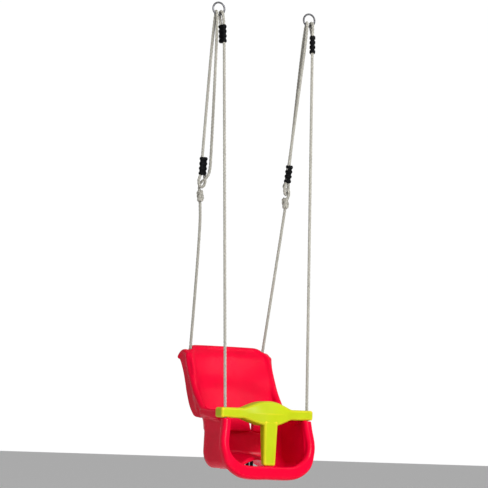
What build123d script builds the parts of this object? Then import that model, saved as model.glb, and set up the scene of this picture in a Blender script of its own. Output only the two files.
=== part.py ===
from build123d import *
import math
import os

# Toddler bucket swing. Millimetres, +Z up, the child faces -Y.
# Origin: midway between the two hook seats, the tops of the rings' holes, where the swing hangs.

# ---- driving dimensions -------------------------------------------------------------------
rope_diameter = 10.0
rope_clearance = 0.5        # radial, in every hole that a rope runs through

ring_wire = 6.0
ring_radius = 20.0          # to the middle of the wire
ring_spacing = 327.0        # between the two ring centres
rope_place_on_ring = 8.0    # each rope lies this far from the middle of the ring

bar_drop = 1299.0           # from the hook line down to the middle of the crossbar
hang_back = 110.2           # from the front ropes' holes back to the hook line: over the centre of mass

front_hole_x = 143.5
rear_hole = (130.0, 300.0, 189.0)      # seat frame: x, back from the front holes, up from the crossbar

bar_length = 321.0
bar_front = -13.0
bar_back = 37.0
bar_half_height = 16.0
bulge_top = 40.0
bulge_bottom = -37.0
bulge_half_length = 78.0
bulge_forward = 26.0
bar_wall = 4.0
bar_travel = 250.0          # how far the T-bar is lifted along the front ropes
bar_slot_ease = 0.7         # further room round the ropes in the bar's slots

post_top = (48.0, 38.0)
post_foot = (41.0, 24.0)
post_top_y = -20.0
post_foot_y = -25.0
lip_top = -161.0
lip_bottom = -206.0
running_gap = 0.3

wall = 7.0
rim_front = -20.0
rim_back = 14.0
rim_top = -17.0
rim_lean = 7.2              # degrees: the lip stands further forward than the uprights' tops
bucket_half_width = 139.0
bucket_bottom = -176.0
bucket_back = 210.0
bucket_front = -8.0
arch_half_width = 55.0
arch_front = -6.0
arch_top = -144.0
pan_front = 40.0
pan_thickness = 12.0
wing_half_width = 150.0
wing_thickness = 13.0
back_top = 216.0
back_corner_radius = 45.0
armrest_top = 8.0
armrest_bottom = -24.0

clip_y = 105.0

steel = (0.62, 0.62, 0.63)
hemp = (0.72, 0.68, 0.60)
black = (0.03, 0.03, 0.035)
red = (0.80, 0.01, 0.03)
lime = (0.70, 0.82, 0.05)

clamp_length = 62.0
clamp_ribs = 4
clamp_broad = 26.0
clamp_narrow = 19.0
clamp_groove = (1.6, 2.8)   # how deep the grooves between the ribs are, across and through
strand_offset = 6.0         # middle of the clamp to the middle of each strand in it

ring_centre_z = -(ring_radius - ring_wire / 2)
rope_seat_z = ring_centre_z - math.sqrt(ring_radius**2 - rope_place_on_ring**2)
seat_place = Location((0, -hang_back, -bar_drop))

os.makedirs("parts", exist_ok=True)


def save(solid, node, material_colour):
    solid = Solid(solid.solids()[0].wrapped)
    solid.label = node
    solid.color = Color(*material_colour)
    export_step(solid, f"parts/{node}.step")


# ---- rope routes --------------------------------------------------------------------------
# A route point is (across x, across y, down): how far it stands from the straight line between
# the rope's place on the ring and its hole in the seat, and how far below the ring's wire it is.
def turned(points, degrees, mirror=1, shift_x=0):
    """Spin points about the rope's line, after flipping their y with mirror, and shift them in x."""
    angle = math.radians(degrees)
    spun = []
    for across_x, across_y, down in points:
        side_y = across_y * mirror
        x = across_x * math.cos(angle) - side_y * math.sin(angle) + shift_x
        y = across_x * math.sin(angle) + side_y * math.cos(angle)
        spun.append((x, y, down))
    return spun


def hang(points, ring_point, seat_point):
    drop = ring_point[2] - seat_point[2]
    placed = []
    for across_x, across_y, down in points:
        along = max(down, 0) / drop
        x = ring_point[0] + (seat_point[0] - ring_point[0]) * along + across_x
        y = ring_point[1] + (seat_point[1] - ring_point[1]) * along + across_y
        placed.append((x, y, ring_point[2] - down))
    return placed


def rope_tube(points, name):
    radii = []
    for before, corner, after in zip(points, points[1:], points[2:]):
        run_in = Vector(*corner) - Vector(*before)
        run_out = Vector(*after) - Vector(*corner)
        half_turn = math.radians(run_in.get_angle(run_out)) / 2
        radii.append(0.45 * min(run_in.length, run_out.length) / math.tan(half_turn))
    path = FilletPolyline(*points, radius=radii)
    section = Plane(origin=path @ 0, z_dir=path % 0) * Circle(rope_diameter / 2)
    tube = sweep(section, path=path)
    expected = math.pi * rope_diameter**2 / 4 * path.length
    print(name, "length", round(path.length), "radii", [round(r, 1) for r in radii],
          "volume ratio", round(tube.volume / expected, 4))
    return Solid(tube.solids()[0].wrapped)


front_seat_z = -bar_drop
front_rope_drop = rope_seat_z - front_seat_z
rear_seat_z = rear_hole[2] - bar_drop
rear_rope_drop = rope_seat_z - rear_seat_z

upper_clamp_down = (31.0, 31.0 + clamp_length)
lower_clamp_down = (448.0, 448.0 + clamp_length)
front_knot_down = front_rope_drop + 45.0
rear_stop_down = rear_rope_drop + 26.0
adjuster_knot_down = 573.0

over_ring = [(0, -12.8, -10.6), (0, 12.8, -10.6)]
front_eye_start = [(0, -strand_offset, upper_clamp_down[0] - 1)]
front_eye_end = [(0, strand_offset, upper_clamp_down[0] - 1), (0.3, strand_offset, 82)]
adjuster_down_strand = [
    (20, -11.5, 496), (8, -15, 514), (0, -10, 523), (0, 10, 531), (0, 12.5, 547), (0, 5, 566),
]
adjuster_eye = [
    (-strand_offset, 0, 506), (-15, 0, 526), (-7, 0, 545), (7, 0, 545), (15, 0, 526),
    (strand_offset, 0, 506), (strand_offset + 0.3, 0, 462),
]

sides = {"left": -1, "right": 1}
front_clamp_turn = {"left": 30.0, "right": -27.0}
adjuster_turn = {"left": 12.0, "right": 35.0}
adjuster_mirror = {"left": 1, "right": -1}
adjuster_shift = {"left": -5.0, "right": 7.0}
rear_rope_bend = {"left": (4, 0, 690), "right": (11, 0, 665)}
front_clamp_shift = 5.5


def ring_place(side, rope_offset):
    return (side * ring_spacing / 2 + rope_offset, 0.0, rope_seat_z)


def front_rope_route(name):
    side = sides[name]
    ring_point = ring_place(side, rope_place_on_ring)
    seat_point = (side * front_hole_x, -hang_back, front_seat_z)
    turn = front_clamp_turn[name]
    points = [(0, 0, front_knot_down)]
    points += turned(front_eye_start, turn, shift_x=front_clamp_shift)
    points += over_ring
    points += turned(front_eye_end, turn, shift_x=front_clamp_shift)
    return hang(points, ring_point, seat_point)


def rear_rope_route(name):
    side = sides[name]
    mirror = adjuster_mirror[name]
    turn = adjuster_turn[name]
    shift = adjuster_shift[name]
    ring_point = ring_place(side, -rope_place_on_ring)
    seat_point = (side * rear_hole[0], rear_hole[1] - hang_back, rear_seat_z)
    points = [(0, 0, rear_stop_down), rear_rope_bend[name]]
    points += turned(adjuster_down_strand, turn, mirror, shift)[::-1]
    points += turned(over_ring, 0, mirror)
    points += turned(adjuster_eye, turn, mirror, shift)
    return hang(points, ring_point, seat_point)


front_routes = {name: front_rope_route(name) for name in sides}
rear_routes = {name: rear_rope_route(name) for name in sides}
front_ropes = {name: rope_tube(front_routes[name], f"front rope {name}") for name in sides}
rear_ropes = {name: rope_tube(rear_routes[name], f"rear rope {name}") for name in sides}


# ---- rings, clamps and knots --------------------------------------------------------------
def ring(side):
    torus = Torus(ring_radius, ring_wire / 2)
    return Pos(side * ring_spacing / 2, 0, ring_centre_z) * Rot(90, 0, 0) * torus


def rope_clamp(top, bottom, broad_angle, rope):
    """Four moulded ribs on a sleeve, with both strands of the rope running through."""
    along = Vector(*bottom) - Vector(*top)
    broad = Vector(math.cos(math.radians(broad_angle)), math.sin(math.radians(broad_angle)), 0)
    frame = Plane(origin=top, x_dir=broad - along * (broad.dot(along) / along.dot(along)), z_dir=along)
    pitch = clamp_length / clamp_ribs
    rib_thickness = 0.62 * pitch
    outline = RectangleRounded(clamp_broad, clamp_narrow, 0.42 * clamp_narrow)
    sleeve_broad = clamp_broad - 2 * clamp_groove[0]
    sleeve_narrow = clamp_narrow - 2 * clamp_groove[1]
    sleeve = RectangleRounded(sleeve_broad, sleeve_narrow, 0.42 * sleeve_narrow)
    body = Pos(0, 0, 2) * extrude(sleeve, clamp_length - 4)
    for number in range(clamp_ribs):
        start = (number + 0.5) * pitch - rib_thickness / 2
        rib = Pos(0, 0, start) * extrude(outline, rib_thickness)
        rib = fillet(rib.faces().sort_by(Axis.Z)[0].edges() + rib.faces().sort_by(Axis.Z)[-1].edges(), 3)
        body += rib
    return Solid((frame.location * body - rope).solids()[0].wrapped)


def knot(centre, along, half_length, half_width, rope, blocked_by=None):
    """A pulled-tight knot: an oval of its outer shape round the rope."""
    ellipse = Ellipse(half_width, half_length)
    half = ellipse & Pos(half_width, 0) * Rectangle(2 * half_width, 2 * half_length)
    oval = revolve(Plane.XZ * half, Axis.Z)
    frame = Plane(origin=centre, z_dir=Vector(*along))
    body = frame.location * oval - rope
    return Solid(body.solids().sort_by(SortBy.VOLUME)[-1].wrapped)


# ---- T-bar, in the seat frame -------------------------------------------------------------
def rope_line(down_from_bar):
    """Middle of a front rope below the crossbar, right-hand side, in the seat frame."""
    ring_point = ring_place(1, rope_place_on_ring)
    share = (front_rope_drop + down_from_bar) / front_rope_drop
    x = ring_point[0] + (front_hole_x - ring_point[0]) * share
    return (x, hang_back * (1 - share), -down_from_bar)


def crossbar():
    half = bar_length / 2
    high = bar_half_height
    reach = bulge_half_length
    top = Spline((-reach - 14, high), (0, bulge_top), (reach + 14, high), tangents=((1, 0), (1, 0)),
                 tangent_scalars=(0.9, 0.9))
    low = Spline((reach + 14, -high), (0, bulge_bottom), (-reach - 14, -high),
                 tangents=((-1, 0), (-1, 0)), tangent_scalars=(0.9, 0.9))
    front_view = make_face(Curve() + [
        Line((-half, high), (-reach - 14, high)), top, Line((reach + 14, high), (half, high)),
        Line((half, high), (half, -high)), Line((half, -high), (reach + 14, -high)), low,
        Line((-reach - 14, -high), (-half, -high)), Line((-half, -high), (-half, high)),
    ])
    bow = Spline((reach + 20, bar_front), (0, bar_front - bulge_forward), (-reach - 20, bar_front),
                 tangents=((-1, 0), (-1, 0)), tangent_scalars=(0.9, 0.9))
    plan_view = make_face(Curve() + [
        Line((-half, bar_back), (half, bar_back)), Line((half, bar_back), (half, bar_front)),
        Line((half, bar_front), (reach + 20, bar_front)), bow,
        Line((-reach - 20, bar_front), (-half, bar_front)), Line((-half, bar_front), (-half, bar_back)),
    ])
    upright = Plane.XZ * front_view
    body = extrude(upright, 100, both=True) & extrude(plan_view, 100, both=True)
    ends = body.edges().filter_by(Axis.Z).group_by(Axis.X)
    body = fillet(ends[0] + ends[-1], 9)
    hollow_depth = bar_back - bar_front - 2 * bar_wall
    hollow = Pos(0, (bar_back + bar_front) / 2 + 4, 0) * Box(
        2 * front_hole_x - 36, hollow_depth - 8, 2 * (bar_half_height - bar_wall))
    bulge_hollow = Pos(0, -0.5, 5) * Box(84, 55, 46)
    return body - hollow - bulge_hollow


def rope_slots():
    """Slots that let the bar ride up the ropes, which spread apart upwards."""
    hole = rope_diameter / 2 + rope_clearance + bar_slot_ease
    lift = Vector(0, hang_back, front_rope_drop).normalized() * bar_travel
    cutters = []
    for route in front_routes.values():
        low = Vector(*route[0]) + Vector(0, hang_back, bar_drop)
        run = (Vector(*route[1]) - Vector(*route[0])).normalized()
        start = low - run * (low.Z / run.Z)
        end = low + run * ((lift.Z - low.Z) / run.Z) - lift
        shift = end - start
        slot = SlotCenterToCenter(shift.length, 2 * hole, rotation=math.degrees(math.atan2(shift.Y, shift.X)))
        middle = (start + end) / 2
        cutters.append(extrude(Pos(middle.X, middle.Y, 0) * slot, 60, dir=run, both=True))
    return cutters


def crotch_post():
    sections = []
    for z, (wide, deep), y in (
        (-24.0, post_top, post_top_y),
        (lip_top + running_gap, post_foot, post_foot_y),
    ):
        sections.append(Pos(0, y, z) * RectangleRounded(wide, deep, 9))
    return loft(sections)


def post_hollow():
    sections = []
    for z, (wide, deep), y in (
        (-34.0, post_top, post_top_y),
        (lip_top - 1, post_foot, post_foot_y),
    ):
        sections.append(Pos(0, y, z) * RectangleRounded(wide - 8, deep - 8, 6))
    return loft(sections)


# ---- seat shell, in the seat frame --------------------------------------------------------
def wing():
    """Right-hand wing of the backrest, running down and forward into the armrest."""
    tip_rear = (347, 182)
    tip_front = (300, 205)
    rest_front = bar_back + 1.5
    rear = Spline(tip_rear, (322, 158), (305, 128), (294, 98), (274, 46), (246, 8), (214, -16),
                  (150, armrest_bottom))
    front = Spline((rest_front, armrest_top), (120, armrest_top + 1), (160, 19), (196, 50), (226, 84),
                   (250, 122), (276, 162), tip_front)
    outline = Curve() + [
        rear,
        Line((150, armrest_bottom), (rest_front, armrest_bottom)),
        Line((rest_front, armrest_bottom), (rest_front, armrest_top)),
        front,
        Line(tip_front, tip_rear),
    ]
    face = make_face(Plane.YZ * outline)
    return Pos(wing_half_width - wing_thickness, 0, 0) * extrude(face, wing_thickness, dir=(1, 0, 0))


def back_panel():
    """Reclined back, one bent sheet with its top rolled backwards and its top corners rounded."""
    front_curve = [(190, -48), (194, -20), (214, 20), (244, 80), (264, 140), (292, 190), (324, back_top)]
    rear_curve = [(y + 0.88 * wall, z - 0.48 * wall) for y, z in front_curve]
    outline = Curve() + [
        Spline(*front_curve),
        Line(front_curve[-1], rear_curve[-1]),
        Spline(*rear_curve[::-1]),
        Line(rear_curve[0], front_curve[0]),
    ]
    face = make_face(Plane.YZ * outline)
    half = wing_half_width - 4
    height = 2 * back_top
    front_view = Pos(0, back_top - height / 2 + 2) * RectangleRounded(2 * half, height, back_corner_radius)
    sheet = Pos(-half, 0, 0) * extrude(face, 2 * half, dir=(1, 0, 0))
    return sheet & extrude(Plane.XZ * front_view, 400, both=True)


def bucket_block(inset):
    half = bucket_half_width - inset
    back = bucket_back - inset
    low = bucket_bottom + inset
    plan = make_face(Curve() + [
        Line((-half, -30), (-half, back - 48)),
        ThreePointArc((-half, back - 48), (0, back), (half, back - 48)),
        Line((half, back - 48), (half, -30)), Line((half, -30), (-half, -30)),
    ])
    corner = 60 - inset
    side = make_face(Curve() + [
        FilletPolyline((-30, rim_top), (-30, low), (back - 8, low), (back + 6, rim_top),
                       radius=(0.1, corner)),
        Line((back + 6, rim_top), (-30, rim_top)),
    ])
    return extrude(plan, 260, both=True) & extrude(Plane.YZ * side, 300, both=True)


def front_rim():
    """Rolled U-shaped rim: two uprights and the lip that the post stands on, leaning forward."""
    above = rim_top + 12
    sill = lip_top - 3.5
    outer = FilletPolyline((-152, above), (-164, -110), (-134, lip_bottom), (134, lip_bottom),
                           (164, -110), (152, above), radius=(60, 64, 64, 60))
    inner = FilletPolyline((126, above), (137, -110), (112, sill), (-112, sill),
                           (-137, -110), (-126, above), radius=(60, 44, 44, 60))
    face = make_face(Plane.XZ * (Curve() + [
        outer, Line((152, above), (126, above)), inner, Line((-126, above), (-152, above)),
    ]))
    rim = Pos(0, rim_back, 0) * extrude(face, rim_back - rim_front, dir=(0, -1, 0))
    rim = fillet(rim.faces().sort_by(Axis.Y)[0].edges(), 11)
    pivot = Pos(0, (rim_front + rim_back) / 2, rim_top)
    rim = pivot * Rot(-rim_lean, 0, 0) * pivot.inverse() * rim
    return rim - Pos(0, 0, rim_top + 50) * Box(400, 200, 100)


def arch(half_width, top, y_low, y_high):
    """Saddle-shaped space or hump across the pan, open downwards."""
    base = bucket_bottom - 12
    outline = make_face(Plane.XZ * (Curve() + [
        Line((-half_width - 4, base), (half_width + 4, base)),
        Line((half_width + 4, base), (half_width, -165)),
        ThreePointArc((half_width, -165), (0, top), (-half_width, -165)),
        Line((-half_width, -165), (-half_width - 4, base)),
    ]))
    return Pos(0, y_high, 0) * extrude(outline, y_high - y_low, dir=(0, -1, 0))


def seat_shell():
    bucket = bucket_block(0) - bucket_block(wall)
    bucket -= Pos(0, bucket_front - 50, 0) * Box(400, 100, 600)
    hump = arch(arch_half_width + 14, arch_top + pan_thickness, pan_front, bucket_back) & bucket_block(1)
    bucket += hump
    shell = bucket + front_rim()
    shell -= arch(arch_half_width, arch_top, arch_front, bucket_back + 40)
    shell += wing() + mirror(wing(), Plane.YZ) + back_panel()
    for side in sides.values():
        shell -= Pos(side * 48, 195, -34) * Box(22, 60, 44)
        knot_x, knot_y, knot_z = rope_line(45)
        line_x = rope_line(20)[0]
        shell -= Pos(side * line_x, rope_line(20)[1], rim_top - 8) * Cylinder(rope_diameter / 2 + 1, 30)
        shell -= Pos(side * knot_x, knot_y, knot_z - 2) * Cylinder(11.5, 34)
    post_boss = Pos(0, post_foot_y, lip_top + 3) * Box(post_foot[0] - 12, post_foot[1] - 12, 16)
    return shell + post_boss


def under_seat_clip():
    """Small two-legged clip under the middle of the pan, plugged into the pan from below."""
    bar = Pos(0, clip_y, arch_top - 4.5) * Box(22, 12, 5)
    stem = Pos(0, clip_y, arch_top + 2) * Cylinder(3.5, 12)
    clip = bar + stem
    for x in (-7.2, 7.2):
        clip += Pos(x, clip_y, arch_top - 15) * Box(6.5, 12, 22)
    return clip


# ---- assembly -----------------------------------------------------------------------------
for name, side in sides.items():
    save(ring(side), f"{name}_ring", steel)

    rope = front_ropes[name]
    save(rope, f"front_rope_{name}", hemp)
    ring_point = ring_place(side, rope_place_on_ring)
    seat_point = (side * front_hole_x, -hang_back, front_seat_z)
    middle = [(front_clamp_shift, 0, down) for down in upper_clamp_down]
    top, bottom = hang(middle, ring_point, seat_point)
    save(rope_clamp(top, bottom, 90 + front_clamp_turn[name], rope), f"upper_clamp_{name}", black)
    route = front_routes[name]
    rope_up = Vector(*route[1]) - Vector(*route[0])
    stop = knot(route[0], rope_up, 13, 10, rope)
    save(stop, f"front_stop_knot_{name}", hemp)

    rope = rear_ropes[name]
    save(rope, f"rear_rope_{name}", hemp)
    ring_point = ring_place(side, -rope_place_on_ring)
    seat_point = (side * rear_hole[0], rear_hole[1] - hang_back, rear_seat_z)
    middle = [(adjuster_shift[name], 0, down) for down in lower_clamp_down]
    top, bottom = hang(middle, ring_point, seat_point)
    save(rope_clamp(top, bottom, adjuster_turn[name], rope), f"adjuster_clamp_{name}", black)
    knot_offset = turned([(0, 3, adjuster_knot_down)], adjuster_turn[name], adjuster_mirror[name],
                         adjuster_shift[name])
    centre = hang(knot_offset, ring_point, seat_point)[0]
    rope_up = Vector(*ring_point) - Vector(*seat_point)
    save(knot(centre, rope_up, 21, 12, rope), f"adjuster_knot_{name}", hemp)
    route = rear_routes[name]
    rope_up = Vector(*route[1]) - Vector(*route[0])
    save(knot(route[0], rope_up, 15, 12, rope), f"rear_stop_knot_{name}", hemp)

shell = seat_shell()
clip = under_seat_clip()
shell -= clip
for name in sides:
    rope_end, rope_bend = rear_routes[name][:2]
    hole_run = Plane(origin=rope_end, z_dir=Vector(*rope_bend) - Vector(*rope_end))
    drill = hole_run.location * Cylinder(rope_diameter / 2 + rope_clearance, 300)
    pocket = hole_run.location * Pos(0, 0, -30) * Cylinder(12.6, 2 * 45.5)
    shell -= seat_place.inverse() * drill
    shell -= seat_place.inverse() * pocket
shell = Solid(shell.solids()[0].wrapped)
save(seat_place * shell, "seat_shell", red)
save(seat_place * clip, "under_seat_clip", black)

post = crotch_post()
bar = crossbar() - post
for cutter in rope_slots():
    bar -= cutter
save(seat_place * bar, "crossbar", lime)
save(seat_place * (post - post_hollow()), "crotch_post", lime)
print("shell solids", len(shell.solids()), "volume", round(shell.volume / 1000), "cm3")
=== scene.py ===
import math

import bpy
import numpy as np
from mathutils import Matrix, Vector


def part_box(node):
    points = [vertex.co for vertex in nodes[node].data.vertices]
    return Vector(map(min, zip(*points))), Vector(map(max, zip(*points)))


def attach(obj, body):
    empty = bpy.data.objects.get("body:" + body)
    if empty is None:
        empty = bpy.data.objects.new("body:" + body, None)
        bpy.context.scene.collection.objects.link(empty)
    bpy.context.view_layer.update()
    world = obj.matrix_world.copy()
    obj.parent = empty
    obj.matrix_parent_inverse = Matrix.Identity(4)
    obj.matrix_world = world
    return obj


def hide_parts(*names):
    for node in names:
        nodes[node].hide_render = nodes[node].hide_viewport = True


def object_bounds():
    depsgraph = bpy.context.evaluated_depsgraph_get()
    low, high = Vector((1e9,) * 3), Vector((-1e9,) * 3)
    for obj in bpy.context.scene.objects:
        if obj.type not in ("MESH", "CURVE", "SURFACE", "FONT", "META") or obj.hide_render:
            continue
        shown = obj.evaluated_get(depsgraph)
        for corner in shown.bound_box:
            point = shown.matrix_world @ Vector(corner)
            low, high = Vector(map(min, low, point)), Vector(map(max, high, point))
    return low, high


# Toddler bucket swing. Shapes are worked out in millimetres in the seat frame: x across, y back
# from the front ropes' holes, z up from the middle of the crossbar. placed() turns them into
# metres in the row frame, whose origin is the hook line that the rings hang from.

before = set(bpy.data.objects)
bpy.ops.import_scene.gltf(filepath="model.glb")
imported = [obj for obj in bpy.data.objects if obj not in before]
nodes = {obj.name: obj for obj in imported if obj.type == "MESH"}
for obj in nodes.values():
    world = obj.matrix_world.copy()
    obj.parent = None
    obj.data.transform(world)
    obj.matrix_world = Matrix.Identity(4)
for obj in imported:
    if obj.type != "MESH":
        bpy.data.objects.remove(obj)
cad_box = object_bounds()

bar_drop = 1299.0
hang_back = 110.2
rope_diameter = 10.0
sides = {"left": -1, "right": 1}


def placed(points):
    return (np.asarray(points, float) + (0, -hang_back, -bar_drop)) / 1000


# ---- camera --------------------------------------------------------------------------------
def make_camera(place, azimuth, elevation, roll, lens):
    a, e, r = (math.radians(v) for v in (azimuth, elevation, roll))
    back = Vector((math.sin(a) * math.cos(e), -math.cos(a) * math.cos(e), math.sin(e)))
    level = Vector((0, 0, 1)).cross(back).normalized()
    upright = back.cross(level)
    right = level * math.cos(r) + upright * math.sin(r)
    camera = bpy.data.objects.new("camera", bpy.data.cameras.new("camera"))
    camera.data.lens = lens
    camera.data.sensor_width = 36
    turn = Matrix((right, back.cross(right), back)).transposed()
    camera.matrix_world = Matrix.Translation(place) @ turn.to_4x4()
    bpy.context.scene.collection.objects.link(camera)
    bpy.context.scene.camera = camera


make_camera(place=(-3.222, -6.366, -1.374), azimuth=-26.53, elevation=-4.92, roll=2.06, lens=165.6)


# ---- materials -----------------------------------------------------------------------------
class Recipe:
    """A material's node tree, with short calls for the nodes that the recipes below share."""

    def __init__(self, name, colour, roughness, **settings):
        self.material = bpy.data.materials.new(name)
        self.material.use_nodes = True
        self.tree = self.material.node_tree
        self.shader = self.tree.nodes["Principled BSDF"]
        self.shader.inputs["Base Color"].default_value = (*colour, 1)
        self.shader.inputs["Roughness"].default_value = roughness
        for socket, value in settings.items():
            self.shader.inputs[socket.replace("_", " ")].default_value = value
        self.place = self.tree.nodes.new("ShaderNodeTexCoord").outputs["Object"]

    def link(self, output, target):
        self.tree.links.new(output, target)

    def noise(self, scale, detail=4, stretch=None):
        node = self.tree.nodes.new("ShaderNodeTexNoise")
        node.inputs["Scale"].default_value = scale
        node.inputs["Detail"].default_value = detail
        place = self.place
        if stretch:
            mapping = self.tree.nodes.new("ShaderNodeMapping")
            mapping.inputs["Scale"].default_value = stretch
            self.link(self.place, mapping.inputs["Vector"])
            place = mapping.outputs["Vector"]
        self.link(place, node.inputs["Vector"])
        return node.outputs["Fac"]

    def ramp(self, factor, low, high, start=0.3, end=0.7):
        node = self.tree.nodes.new("ShaderNodeValToRGB")
        node.color_ramp.elements[0].position = start
        node.color_ramp.elements[1].position = end
        node.color_ramp.elements[0].color = (*low, 1)
        node.color_ramp.elements[1].color = (*high, 1)
        self.link(factor, node.inputs["Fac"])
        return node.outputs["Color"]

    def spread(self, factor, low, high):
        node = self.tree.nodes.new("ShaderNodeMapRange")
        node.inputs["To Min"].default_value = low
        node.inputs["To Max"].default_value = high
        self.link(factor, node.inputs["Value"])
        return node.outputs["Result"]

    def bump(self, height, depth, normal=None):
        node = self.tree.nodes.new("ShaderNodeBump")
        node.inputs["Distance"].default_value = depth
        self.link(height, node.inputs["Height"])
        if normal:
            self.link(normal, node.inputs["Normal"])
        return node.outputs["Normal"]

    def mix(self, factor, colour, other):
        node = self.tree.nodes.new("ShaderNodeMix")
        node.data_type = "RGBA"
        self.link(factor, node.inputs["Factor"])
        self.link(colour, node.inputs["A"])
        node.inputs["B"].default_value = (*other, 1)
        return node.outputs["Result"]

    def colour(self, output):
        self.link(output, self.shader.inputs["Base Color"])

    def roughness(self, output):
        self.link(output, self.shader.inputs["Roughness"])

    def normal(self, output):
        self.link(output, self.shader.inputs["Normal"])


def moulded_plastic(name, dark, light, roughness, gloss, edge=None):
    """Moulded plastic: faint flow marks in the colour, orange-peel bump, uneven polish.

    edge is a painted glow on its crisp edges, the colour of light shining through the plastic there; leave
    it out where the edges show no glow.
    """
    recipe = Recipe(name, light, roughness, Specular_IOR_Level=gloss)
    flow_marks = recipe.noise(scale=9, detail=3)
    colour = recipe.ramp(flow_marks, dark, light, start=0.35, end=0.65)
    if edge:
        # Painted glow: the crispest edges take the edge colour, standing in for light shining through the
        # plastic.
        geometry = recipe.tree.nodes.new("ShaderNodeNewGeometry")
        edge_glow_mask = recipe.ramp(geometry.outputs["Pointiness"], (0, 0, 0), (1, 1, 1), start=0.505, end=0.54)
        colour = recipe.mix(edge_glow_mask, colour, edge)
    recipe.colour(colour)
    polish = recipe.noise(scale=26, detail=5)
    recipe.roughness(recipe.spread(polish, roughness - 0.06, roughness + 0.08))
    peel = recipe.bump(recipe.noise(scale=420, detail=2), depth=0.00012)
    recipe.normal(recipe.bump(recipe.noise(scale=38, detail=2), depth=0.0005, normal=peel))
    return recipe.material


def hemp_rope():
    """Pale grey-beige fibres, with streaks, stray dark fibres and a soft sheen."""
    recipe = Recipe("hemp_rope", (0.35, 0.34, 0.3), roughness=0.9, Sheen_Weight=0.1, Sheen_Roughness=0.5)
    streaks = recipe.noise(scale=900, detail=6, stretch=(1, 1, 0.25))
    recipe.colour(recipe.ramp(streaks, (0.13, 0.12, 0.1), (0.48, 0.465, 0.41), start=0.34, end=0.6))
    fine = recipe.bump(recipe.noise(scale=2400, detail=3, stretch=(1, 1, 0.3)), depth=0.0006)
    recipe.normal(recipe.bump(streaks, depth=0.0011, normal=fine))
    return recipe.material


def galvanised_steel():
    """Dull zinc grey, patchy in colour and polish."""
    recipe = Recipe("galvanised_steel", (0.12, 0.12, 0.13), roughness=0.35, Metallic=0.95)
    recipe.colour(recipe.ramp(recipe.noise(scale=260), (0.045, 0.045, 0.05), (0.17, 0.17, 0.18)))
    recipe.roughness(recipe.spread(recipe.noise(scale=160), 0.26, 0.5))
    recipe.normal(recipe.bump(recipe.noise(scale=700, detail=3), depth=0.0002))
    return recipe.material


red_plastic = moulded_plastic("red_plastic", dark=(0.60, 0.0003, 0.022), light=(0.70, 0.0004, 0.028),
                              roughness=0.24, gloss=0.07)
# The orange edge colour of the lime plastic is a painted glow of light shining through its edges, not a
# colour of the plastic.
lime_plastic = moulded_plastic("lime_plastic", dark=(0.34, 0.40, 0.005), light=(0.39, 0.455, 0.006),
                               roughness=0.38, gloss=0.1, edge=(0.66, 0.50, 0.02))
black_plastic = moulded_plastic("black_plastic", dark=(0.002, 0.002, 0.0025), light=(0.005, 0.005, 0.0055),
                                roughness=0.45, gloss=0.05)
rope_fibre = hemp_rope()
ring_steel = galvanised_steel()


def add_mesh(name, vertices, faces, material):
    mesh = bpy.data.meshes.new(name)
    mesh.from_pydata([tuple(v) for v in vertices], [], [tuple(f) for f in faces])
    mesh.update()
    mesh.shade_smooth()
    mesh.materials.append(material)
    piece = bpy.data.objects.new(name, mesh)
    bpy.context.scene.collection.objects.link(piece)
    return piece


# ---- moulded shapes ------------------------------------------------------------------------
# A moulding is a distance function: negative inside, positive outside, zero on its surface.
def rounded_all(walls, radius):
    """Where all walls are negative, with the edges between them rounded."""
    inside = np.stack([wall + radius for wall in walls])
    return np.linalg.norm(np.maximum(inside, 0), axis=0) + np.minimum(inside.max(0), 0) - radius


def join(first, second, blend):
    """Both bodies, with a fillet as wide as blend between them."""
    share = np.clip(0.5 + 0.5 * (second - first) / blend, 0, 1)
    return second * (1 - share) + first * share - blend * share * (1 - share)


def cut(body, tool, blend):
    """The body without the tool, with the new edges eased by blend."""
    return -join(-body, tool, blend)


def smooth_step(value, start, end):
    """0 up to start, 1 from end on, with a smooth rise between."""
    t = np.clip((value - start) / (end - start), 0, 1)
    return t * t * (3 - 2 * t)


def swell(value, reach):
    """1 at the middle, falling smoothly to 0 at reach."""
    return np.clip(1 - (value / reach) ** 2, 0, 1) ** 2


def curve_through(points, steps=8):
    """A smooth line through the points."""
    points = np.asarray(points, float)
    padded = np.vstack([2 * points[0] - points[1], points, 2 * points[-1] - points[-2]])
    line = []
    for before, start, end, after in zip(padded, padded[1:], padded[2:], padded[3:]):
        for t in np.arange(steps) / steps:
            line.append(0.5 * (2 * start + (end - before) * t
                               + (2 * before - 5 * start + 4 * end - after) * t**2
                               + (3 * start - before - 3 * end + after) * t**3))
    line.append(points[-1])
    return np.array(line)


def line_distance(a, b, line):
    """Distance in the (a, b) plane to a line of points."""
    nearest = np.full(a.shape, np.inf)
    for (a0, b0), (a1, b1) in zip(line, line[1:]):
        da, db = a1 - a0, b1 - b0
        t = np.clip(((a - a0) * da + (b - b0) * db) / (da * da + db * db), 0, 1)
        nearest = np.minimum(nearest, np.hypot(a - a0 - t * da, b - b0 - t * db))
    return nearest


def inside_outline(a, b, outline):
    """True inside a closed outline in the (a, b) plane."""
    inside = np.zeros(a.shape, bool)
    for (a0, b0), (a1, b1) in zip(outline, np.roll(outline, -1, axis=0)):
        crosses = (b0 > b) != (b1 > b)
        inside ^= crosses & (a < (a1 - a0) * (b - b0) / (b1 - b0 + 1e-12) + a0)
    return inside


def outline_distance(a, b, outline):
    """Distance to a closed outline, negative inside it."""
    closed = np.vstack([outline, outline[:1]])
    distance = line_distance(a, b, closed)
    return np.where(inside_outline(a, b, outline), -distance, distance)


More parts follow.
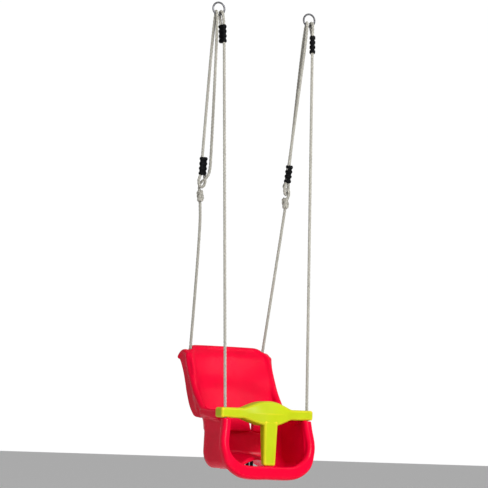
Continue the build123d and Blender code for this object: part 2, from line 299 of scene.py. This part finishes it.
def surface_of(shape, low, high, pitch):
    """Quads on a moulding's surface: one vertex in each cell that the surface crosses."""
    low = np.array(low, float)
    count = np.ceil((np.array(high, float) - low) / pitch).astype(int) + 1
    axes = [low[i] + pitch * np.arange(count[i]) for i in range(3)]
    values = np.empty(count)
    for i, x in enumerate(axes[0]):
        y, z = np.meshgrid(axes[1], axes[2], indexing="ij")
        values[i] = shape(np.full(y.shape, x), y, z)
    solid = values < 0
    total = np.zeros([*(count - 1), 3])
    crossings = np.zeros(count - 1)
    corners = [(i, j, k) for i in (0, 1) for j in (0, 1) for k in (0, 1)]
    cells = count - 1

    def corner(grid, c):
        return grid[c[0]:c[0] + cells[0], c[1]:c[1] + cells[1], c[2]:c[2] + cells[2]]

    for c in corners:
        for axis in range(3):
            if c[axis]:
                continue
            d = tuple(v + (i == axis) for i, v in enumerate(c))
            start, end = corner(values, c), corner(values, d)
            crosses = corner(solid, c) != corner(solid, d)
            share = np.where(crosses, start / np.where(crosses, start - end, 1), 0)
            point = np.empty(total.shape)
            point[:] = c
            point[..., axis] += share
            total += point * crosses[..., None]
            crossings += crosses
    used = crossings > 0
    index = np.full(cells, -1)
    index[used] = np.arange(used.sum())
    places = np.argwhere(used) + total[used] / crossings[used][:, None]
    vertices = low + places * pitch
    faces = []
    for axis in range(3):
        u, v = (axis + 1) % 3, (axis + 2) % 3
        first = np.take(solid, range(count[axis] - 1), axis)
        second = np.take(solid, range(1, count[axis]), axis)
        edges = np.argwhere(first != second)
        inside_u = (edges[:, u] > 0) & (edges[:, u] < cells[u])
        inside_v = (edges[:, v] > 0) & (edges[:, v] < cells[v])
        edges = edges[inside_u & inside_v]
        steps = []
        for du, dv in ((0, 0), (-1, 0), (-1, -1), (0, -1)):
            cell = edges.copy()
            cell[:, u] += du
            cell[:, v] += dv
            steps.append(index[tuple(cell.T)])
        quads = np.stack(steps, 1)
        outward = first[tuple(edges.T)]
        quads[~outward] = quads[~outward][:, ::-1]
        faces.append(quads)
    return vertices, np.vstack(faces)


def slope_of(shape, points):
    """How the shape's distance grows along x, y and z, at each point."""
    step = 0.25
    slope = np.empty(points.shape)
    for axis in range(3):
        offset = np.zeros(3)
        offset[axis] = step
        slope[:, axis] = (shape(*(points + offset).T) - shape(*(points - offset).T)) / (2 * step)
    return slope


def moulding(name, shape, low, high, pitch, material):
    """A smooth mesh on the surface of a distance function, in the row frame."""
    vertices, faces = surface_of(shape, low, high, pitch)
    settling_rounds, flattest_slope = 3, 0.2
    for _ in range(settling_rounds):
        slope = slope_of(shape, vertices)
        steepness = np.maximum((slope**2).sum(1), flattest_slope)
        step = shape(*vertices.T)[:, None] * slope / steepness[:, None]
        vertices = vertices - np.clip(step, -pitch / 2, pitch / 2)
    piece = add_mesh(name, placed(vertices), faces, material)
    normals = slope_of(shape, vertices)
    normals /= np.maximum(np.linalg.norm(normals, axis=1), 1e-6)[:, None]
    piece.data.normals_split_custom_set_from_vertices(normals.tolist())
    return piece


# ---- seat shell ----------------------------------------------------------------------------
# Lines are (y, z) points, or (x, z) points for the rim.
wall = 7.0
bucket_half_width = 139.0
bucket_back = 211.0
bucket_floor = -174.0
back_half_width = 143.0
back_top = 215.0
back_crest = 5.0            # the middle of the top edge stands this much higher than its ends
back_corner = 42.0
back_dish = 20.0            # the sides of the back stand this much in front of its middle
back_line = curve_through([(194, -52), (199, -22), (217, 16), (245, 72), (266, 130), (292, 180),
                           (326, 212)])
wing_x = 142.0
wing_half_thickness = 4.5
wing_front_roll = 9.5       # radius of the rolled front edge
wing_crest_roll = 7.0
wing_rear = [(344, 178), (322, 152), (305, 124), (293, 96), (280, 62), (260, 24), (238, 0), (216, -14),
             (180, -18)]
wing_front = [(120, 0), (160, 11), (196, 44), (225, 76), (248, 112), (268, 148), (278, 180)]
wing_front_line = curve_through([(44, -3), (90, -3)] + wing_front)
wing_crest = [(278, 180), (289, 189), (301, 194.5), (318, 194), (334, 187), (344, 178)]
wing_outline = np.vstack([curve_through(wing_rear), [(120, -13)], curve_through(wing_front),
                          wing_crest[1:-1]])
wing_top_line = curve_through(wing_crest)
armrest_x = 138.0
armrest_half_width = 14.5
armrest_top = 7.5
armrest_front = 38.8
armrest_back = 165.0
pan_arch_top = -146.0       # top of the arched space under the pan
pan_hump_top = -134.0       # top of the pan over that space
rim_lean = math.radians(9.0)
rim_pivot = (-3.0, -17.0)
rim_half_depth = 17.0
rim_line = curve_through([(139, -8), (144, -50), (150, -90), (147, -122), (132, -152), (102, -176),
                          (68, -184.5), (0, -184.5), (-40, -184.5)])


rear_hole = (130.0, 300.0, 189.0)
rear_hole_radius = 6.2
rear_pocket_radius = 13.4   # room for the stop knot behind the corner
front_hole_radius = 6.5


def bucket_block(x, y, z):
    """The bucket's outer form, without its mouth."""
    back = (y - bucket_back - 12 * smooth_step(z, -66, -18) + 40 * (x / bucket_half_width) ** 2) * 0.88
    bottom_back = rounded_all([back, bucket_floor - z], 58)
    return rounded_all([x - bucket_half_width + 0.03 * (z + 20), bottom_back], 26)


def front_rim(x, y, z):
    """U-shaped rolled rim, leaning forward towards its lip."""
    y, z = y - rim_pivot[0], z - rim_pivot[1]
    deep = y * math.cos(rim_lean) - z * math.sin(rim_lean)
    down = y * math.sin(rim_lean) + z * math.cos(rim_lean) + rim_pivot[1]
    width = 13.5 + 8 * smooth_step(-down, 120, 184)
    rim = rounded_all([line_distance(x, down, rim_line) - width, np.abs(deep) - rim_half_depth], 12)
    return rounded_all([rim, z + 0.4], 3)


def backrest(x, y, z):
    """Dished back with a rolled top edge, a wing at the side, and the armrest it runs into."""
    dished = y + back_dish * (x / 140) ** 2
    middle = line_distance(dished, z, back_line)
    half_wide = back_half_width - 14 * smooth_step(-z, -12, 12)
    above_top = z - back_top - back_crest * (1 - (x / back_half_width) ** 2)
    corner = rounded_all([x - half_wide, above_top], back_corner)
    back = rounded_all([middle - wall / 2, corner], 3)
    top_roll = np.hypot(np.where(z > 120, corner + 5, 50), middle - 1) - 6.5

    beside = x - wing_x - 3 * smooth_step(z, 0, 180)
    wing = rounded_all([outline_distance(y, z, wing_outline), np.abs(beside) - wing_half_thickness], 4)
    front_roll = np.hypot(line_distance(y, z, wing_front_line), beside + 1) - wing_front_roll
    crest_roll = np.hypot(line_distance(y, z, wing_top_line), beside) - wing_crest_roll
    armrest_bottom = -24 + 15 * smooth_step(y, 50, 160)
    armrest = rounded_all([np.abs(x - armrest_x) - armrest_half_width, z - armrest_top,
                           armrest_bottom - z, armrest_front - y, y - armrest_back], 7)
    upper = join(join(back, wing, 18), join(front_roll, crest_roll, 6), 8)
    return join(join(upper, top_roll, 6), armrest, 12)


def bucket_and_pan(x, y, z):
    """Bucket walls and the saddle-shaped pan, with the arched space under it."""
    block = bucket_block(x, y, z)
    bucket = np.abs(block + wall / 2) - wall / 2
    bucket = rounded_all([bucket, z + 12, -8 - y], 2.5)
    rise = 9 * smooth_step(y, 20, 150)
    hump_top = pan_hump_top + rise - 32 * (x / 72) ** 2
    hump = rounded_all([(z - hump_top) * 0.86, block + 1, 42 - y], 7)
    bucket = join(bucket, hump, 12)
    tunnel = rounded_all([(z - pan_arch_top - rise + 21 * (x / 55) ** 2) * 0.84, -12 - y], 3)
    return cut(bucket, tunnel, 5)


def seat_shell(x, y, z):
    x = np.abs(x)
    shell = join(join(backrest(x, y, z), bucket_and_pan(x, y, z), 9), front_rim(x, y, z), 7)

    boss = rounded_all([x - 14, np.abs(y + 25) - 6, z + 150, -172 - z], 3)
    shell = join(shell, boss, 3)
    slot_half = 11 + 0.2 * np.minimum(z + 12, 0)
    strap_slot = rounded_all([np.abs(x - 48) - slot_half, z + 10, -56 - z, 160 - y], 4)
    shell = cut(shell, strap_slot, 4)
    above_hole = z - rear_hole[2]
    hole = np.hypot(x - rear_hole[0] - 0.038 * above_hole, y - rear_hole[1] + 0.178 * above_hole)
    shell = cut(shell, rounded_all([hole - rear_hole_radius, 150 - z], 1), 2)
    shell = cut(shell, rounded_all([hole - rear_pocket_radius, z - 178, 114 - z], 3), 3)
    front_hole = rounded_all([np.hypot(x - 143, y) - front_hole_radius, -60 - z], 1)
    return cut(shell, front_hole, 1.5)


# ---- T-bar ---------------------------------------------------------------------------------
front_hole_x = 143.5
bar_half_length = 160.5
bar_half_height = 16.0
bar_back = 37.0
bar_slot_radius = 6.3


def crossbar(x, y, z):
    """Bar with a swollen middle and a slot round each front rope."""
    side = x
    x = np.abs(x)
    bulge = swell(x, 86) ** 0.7
    top = z - bar_half_height - 24 * bulge
    low = -bar_half_height - 21 * bulge - z
    recede = 0.45 * np.maximum(z, 0) * bulge
    front = (-13 - 26 * swell(x, 104) + recede - y) * 0.93
    bar = rounded_all([top * 0.9, low * 0.9, front, y - bar_back, x - bar_half_length], 7)
    reach = np.where(side > 0, 3.2, 0.1)
    past_slot = np.maximum(np.abs(x - front_hole_x - reach) - reach, 0)
    slot = np.hypot(past_slot, y - 0.087 * z + 0.3) - bar_slot_radius
    return cut(bar, slot, 2.5)


def crotch_post(x, y, z):
    """Post that narrows towards its foot."""
    down = np.clip((-24 - z) / 137, -0.2, 1.1)
    half_wide = 24 - 3.5 * down
    half_deep = 19 - 7 * down
    middle = -20 - 5 * down
    return rounded_all([np.abs(x) - half_wide, np.abs(y - middle) - half_deep, z + 20, -160.7 - z], 7.5)


shell_pitch = 3.0
bar_pitch = 2.2
shell_piece = moulding("seat_shell_moulding", seat_shell, (-172, -56, -214), (172, 362, 232), shell_pitch,
                       red_plastic)
bar_piece = moulding("crossbar_moulding", crossbar, (-170, -48, -44), (170, 44, 48), bar_pitch,
                     lime_plastic)
post_piece = moulding("crotch_post_moulding", crotch_post, (-32, -44, -172), (32, 14, -14), bar_pitch,
                      lime_plastic)
for piece, node, body in ((shell_piece, "seat_shell", "seat"), (bar_piece, "crossbar", "t_bar"),
                          (post_piece, "crotch_post", "t_bar")):
    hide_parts(node)
    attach(piece, body)


# ---- ropes ---------------------------------------------------------------------------------
ring_spacing = 327.0
rope_place_on_ring = 8.0
strand_offset = 6.0
ring_centre_z = -17.0
ring_radius = 20.0          # of the wire's middle
rope_seat_z = ring_centre_z - math.sqrt(ring_radius**2 - rope_place_on_ring**2)
front_seat = (front_hole_x, -hang_back, -bar_drop)
rear_seat = (rear_hole[0], rear_hole[1] - hang_back, rear_hole[2] - bar_drop)
front_drop = rope_seat_z - front_seat[2]
rear_drop = rope_seat_z - rear_seat[2]
front_end_below = 45.0      # how far each rope's end is under its hole
rear_end_below = 26.0

# Route points: across in x, across in y, down from the rope's place on its ring.

over_ring = [(0, -12.8, -10.6), (0, 12.8, -10.6)]
front_eye_start = [(0, -strand_offset, 92), (0, -strand_offset, 30)]
front_eye_end = [(0, strand_offset, 30), (0.3, strand_offset, 82)]
adjuster_down_strand = [
    (20, -11.5, 440), (20, -11.5, 496), (8, -15, 514), (0, -10, 523), (0, 10, 531), (0, 12.5, 547),
    (0, 5, 566),
]
adjuster_eye = [
    (-strand_offset, 0, 440), (-strand_offset, 0, 506), (-15, 0, 526), (-7, 0, 545), (7, 0, 545),
    (15, 0, 526), (strand_offset, 0, 506), (strand_offset + 0.3, 0, 462),
]
front_clamp_turn = {"left": 30.0, "right": -27.0}
front_clamp_shift = 5.5
adjuster_turn = {"left": 12.0, "right": 35.0}
adjuster_mirror = {"left": 1, "right": -1}
adjuster_shift = {"left": -5.0, "right": 7.0}
rear_rope_bend = {"left": (4, 0, 690), "right": (11, 0, 665)}


def turned(points, degrees, mirror=1, shift_x=0):
    """Spin points about the rope's line, after flipping their y with mirror, and shift them in x."""
    angle = math.radians(degrees)
    spun = []
    for across_x, across_y, down in points:
        side_y = across_y * mirror
        x = across_x * math.cos(angle) - side_y * math.sin(angle) + shift_x
        y = across_x * math.sin(angle) + side_y * math.cos(angle)
        spun.append((x, y, down))
    return spun


def hang(points, ring_point, seat_point):
    """Route points in metres: how far each stands from the line from ring to seat, and how far down."""
    drop = ring_point[2] - seat_point[2]
    route = []
    for across_x, across_y, down in points:
        along = max(down, 0) / drop
        x = ring_point[0] + (seat_point[0] - ring_point[0]) * along + across_x
        y = ring_point[1] + (seat_point[1] - ring_point[1]) * along + across_y
        route.append(Vector((x, y, ring_point[2] - down)) / 1000)
    return route


def smooth_path(name, route, steps=10):
    """Points along the smooth spline that has the route's points as its control points."""
    curve = bpy.data.curves.new(name, "CURVE")
    curve.dimensions = "3D"
    curve.resolution_u = steps
    spline = curve.splines.new("NURBS")
    spline.points.add(len(route) - 1)
    for point, place in zip(spline.points, route):
        point.co = (*place, 1)
    spline.order_u = 3
    spline.use_endpoint_u = True
    carrier = bpy.data.objects.new(name, curve)
    mesh = bpy.data.meshes.new_from_object(carrier)
    path = [v.co.copy() for v in mesh.vertices]
    bpy.data.objects.remove(carrier)
    return path


def evenly(path, spacing):
    """The same path with points at an even spacing."""
    path = np.array(path)
    run = np.concatenate([[0], np.cumsum(np.linalg.norm(np.diff(path, axis=0), axis=1))])
    at = np.linspace(0, run[-1], max(int(run[-1] / spacing), 4))
    return np.stack([np.interp(at, run, path[:, i]) for i in range(3)], 1), run[-1]


def carried_frames(path):
    """Two directions across the path at each point, carried along it without twisting."""
    ahead = np.gradient(path, axis=0)
    ahead /= np.linalg.norm(ahead, axis=1)[:, None]
    across = np.cross(ahead[0], (1.0, 0.3, 0.1))
    firsts = []
    for direction in ahead:
        across = across - direction * across.dot(direction)
        across /= np.linalg.norm(across)
        firsts.append(across)
    firsts = np.array(firsts)
    return firsts, np.cross(ahead, firsts)


def laid_rope(name, path, diameter=rope_diameter / 1000, strands=3, lay=0.034, spacing=0.0028):
    """A mesh rope of twisted strands along the path."""
    points, length = evenly(path, spacing)
    first, second = carried_frames(points)
    at = np.linspace(0, length, len(points))
    strand_radius = diameter * 0.262
    strand_sides = 8
    strand_flatness = 1.12
    orbit = diameter / 2 - strand_radius
    around = np.linspace(0, 2 * math.pi, strand_sides, endpoint=False)
    vertices, faces = [], []
    for number in range(strands):
        turn = 2 * math.pi * (at / lay + number / strands)
        out = np.cos(turn)[:, None] * first + np.sin(turn)[:, None] * second
        beside = -np.sin(turn)[:, None] * first + np.cos(turn)[:, None] * second
        centre = points + orbit * out
        start = len(vertices)
        for middle, o, b in zip(centre, out, beside):
            for angle in around:
                outward = math.cos(angle) * o + strand_flatness * math.sin(angle) * b
                vertices.append(middle + strand_radius * outward)
        end = len(vertices) - strand_sides
        for ring in range(start, end, strand_sides):
            following = ring + strand_sides
            for k in range(strand_sides):
                k2 = (k + 1) % strand_sides
                faces.append((ring + k, ring + k2, following + k2, following + k))
        faces.append(tuple(start + k for k in reversed(range(strand_sides))))
        faces.append(tuple(end + k for k in range(strand_sides)))
    return add_mesh(name, vertices, faces, rope_fibre), points, length


def overhand_knot(name, node):
    """Rope pulled tight round itself, filling the oval of its CAD knot."""
    low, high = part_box(node)
    middle = (low + high) / 2
    widest, inner_share, rope_across = 0.0078, 2.6, 0.0104
    turn = np.linspace(0, 2 * math.pi, 90, endpoint=False)
    reach = (inner_share + np.cos(3 * turn)) / (inner_share + 1) * widest
    rise = (high.z - low.z) / 2 - 0.006
    path = np.stack([reach * np.cos(2 * turn), reach * np.sin(2 * turn), rise * np.sin(3 * turn)], 1)
    path = np.vstack([path, path[:1]]) + np.array(middle)
    knot, _, _ = laid_rope(name, path, diameter=rope_across)
    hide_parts(node)
    return knot


for name, side in sides.items():
    ring_point = (side * ring_spacing / 2 + rope_place_on_ring, 0, rope_seat_z)
    seat_point = (side * front_seat[0], front_seat[1], front_seat[2])
    turn = front_clamp_turn[name]
    route = [(0, 0, front_drop + front_end_below)]
    route += turned(front_eye_start, turn, shift_x=front_clamp_shift)
    route += over_ring
    route += turned(front_eye_end, turn, shift_x=front_clamp_shift)
    route = hang(route, ring_point, seat_point)
    rope, path, length = laid_rope(f"front_rope_{name}_laid", smooth_path("front_route", route))
    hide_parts(f"front_rope_{name}")
    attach(rope, "seat")

    mirror = adjuster_mirror[name]
    turn = adjuster_turn[name]
    shift = adjuster_shift[name]
    ring_point = (side * ring_spacing / 2 - rope_place_on_ring, 0, rope_seat_z)
    seat_point = (side * rear_seat[0], rear_seat[1], rear_seat[2])
    route = [(0, 0, rear_drop + rear_end_below), rear_rope_bend[name]]
    route += turned(adjuster_down_strand, turn, mirror, shift)[::-1]
    route += turned(over_ring, 0, mirror)
    route += turned(adjuster_eye, turn, mirror, shift)
    route = hang(route, ring_point, seat_point)
    rope, path, length = laid_rope(f"rear_rope_{name}_laid", smooth_path("rear_route", route))
    adjuster_knot = overhand_knot(f"adjuster_knot_{name}_tied", f"adjuster_knot_{name}")
    stop_knot = overhand_knot(f"rear_stop_knot_{name}_tied", f"rear_stop_knot_{name}")
    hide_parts(f"rear_rope_{name}")
    for piece in (rope, adjuster_knot, stop_knot):
        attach(piece, "seat")


# ---- finishes on the CAD pieces -------------------------------------------------------------
def finish_node(node, material):
    nodes[node].data.materials.clear()
    nodes[node].data.materials.append(material)
    nodes[node].data.shade_smooth()


for name in sides:
    finish_node(f"{name}_ring", ring_steel)
    finish_node(f"upper_clamp_{name}", black_plastic)
    finish_node(f"adjuster_clamp_{name}", black_plastic)
    finish_node(f"front_stop_knot_{name}", rope_fibre)
finish_node("under_seat_clip", black_plastic)


# ---- studio --------------------------------------------------------------------------------
def soft_light(name, place, aim, size, power):
    light = bpy.data.objects.new(name, bpy.data.lights.new(name, "AREA"))
    light.data.shape = "RECTANGLE"
    light.data.size, light.data.size_y = size
    light.data.energy = power
    light.location = place
    light.rotation_euler = (Vector(aim) - Vector(place)).to_track_quat("-Z", "Y").to_euler()
    bpy.context.scene.collection.objects.link(light)


seat_middle = tuple(placed([(0, 140, -20)])[0])
soft_light("key", place=(-0.2, -3.6, 0.2), aim=seat_middle, size=(1.0, 1.0), power=138)
soft_light("sheen", place=(1.1, -1.1, 0.8), aim=seat_middle, size=(1.3, 1.3), power=18)
soft_light("edge", place=(-2.0, -1.9, 0.6), aim=seat_middle, size=(0.35, 0.35), power=11)


def studio_world():
    """Bright white behind the object as it faces us, soft grey on our own side."""
    world = bpy.data.worlds.new("studio")
    world.use_nodes = True
    tree = world.node_tree
    place = tree.nodes.new("ShaderNodeTexCoord")
    along = tree.nodes.new("ShaderNodeVectorMath")
    along.operation = "DOT_PRODUCT"
    along.inputs[1].default_value = (0.446, 0.895, 0)
    tree.links.new(place.outputs["Generated"], along.inputs[0])
    shade = tree.nodes.new("ShaderNodeMapRange")
    shade.inputs["From Min"].default_value = 0.72
    shade.inputs["From Max"].default_value = 0.97
    shade.inputs["To Min"].default_value = 0.4
    shade.inputs["To Max"].default_value = 1.02
    tree.links.new(along.outputs["Value"], shade.inputs["Value"])
    tree.links.new(shade.outputs["Result"], tree.nodes["Background"].inputs["Strength"])
    tree.nodes["Background"].inputs["Color"].default_value = (1, 1, 1, 1)
    return world


bpy.context.scene.world = studio_world()
bpy.context.scene.view_settings.view_transform = "Standard"

floor_material = Recipe("pale_floor", (0.9, 0.9, 0.9), roughness=0.9).material
floor_size = 40.0
floor_below = 0.35          # how far the floor is under the seat
floor_z = cad_box[0][2] - floor_below
floor_corners = [(-floor_size, -floor_size, floor_z), (floor_size, -floor_size, floor_z),
                 (floor_size, floor_size, floor_z), (-floor_size, floor_size, floor_z)]
floor_mesh = bpy.data.meshes.new("floor")
floor_mesh.from_pydata(floor_corners, [], [(0, 1, 2, 3)])
floor_mesh.materials.append(floor_material)
floor = bpy.data.objects.new("floor", floor_mesh)
bpy.context.scene.collection.objects.link(floor)
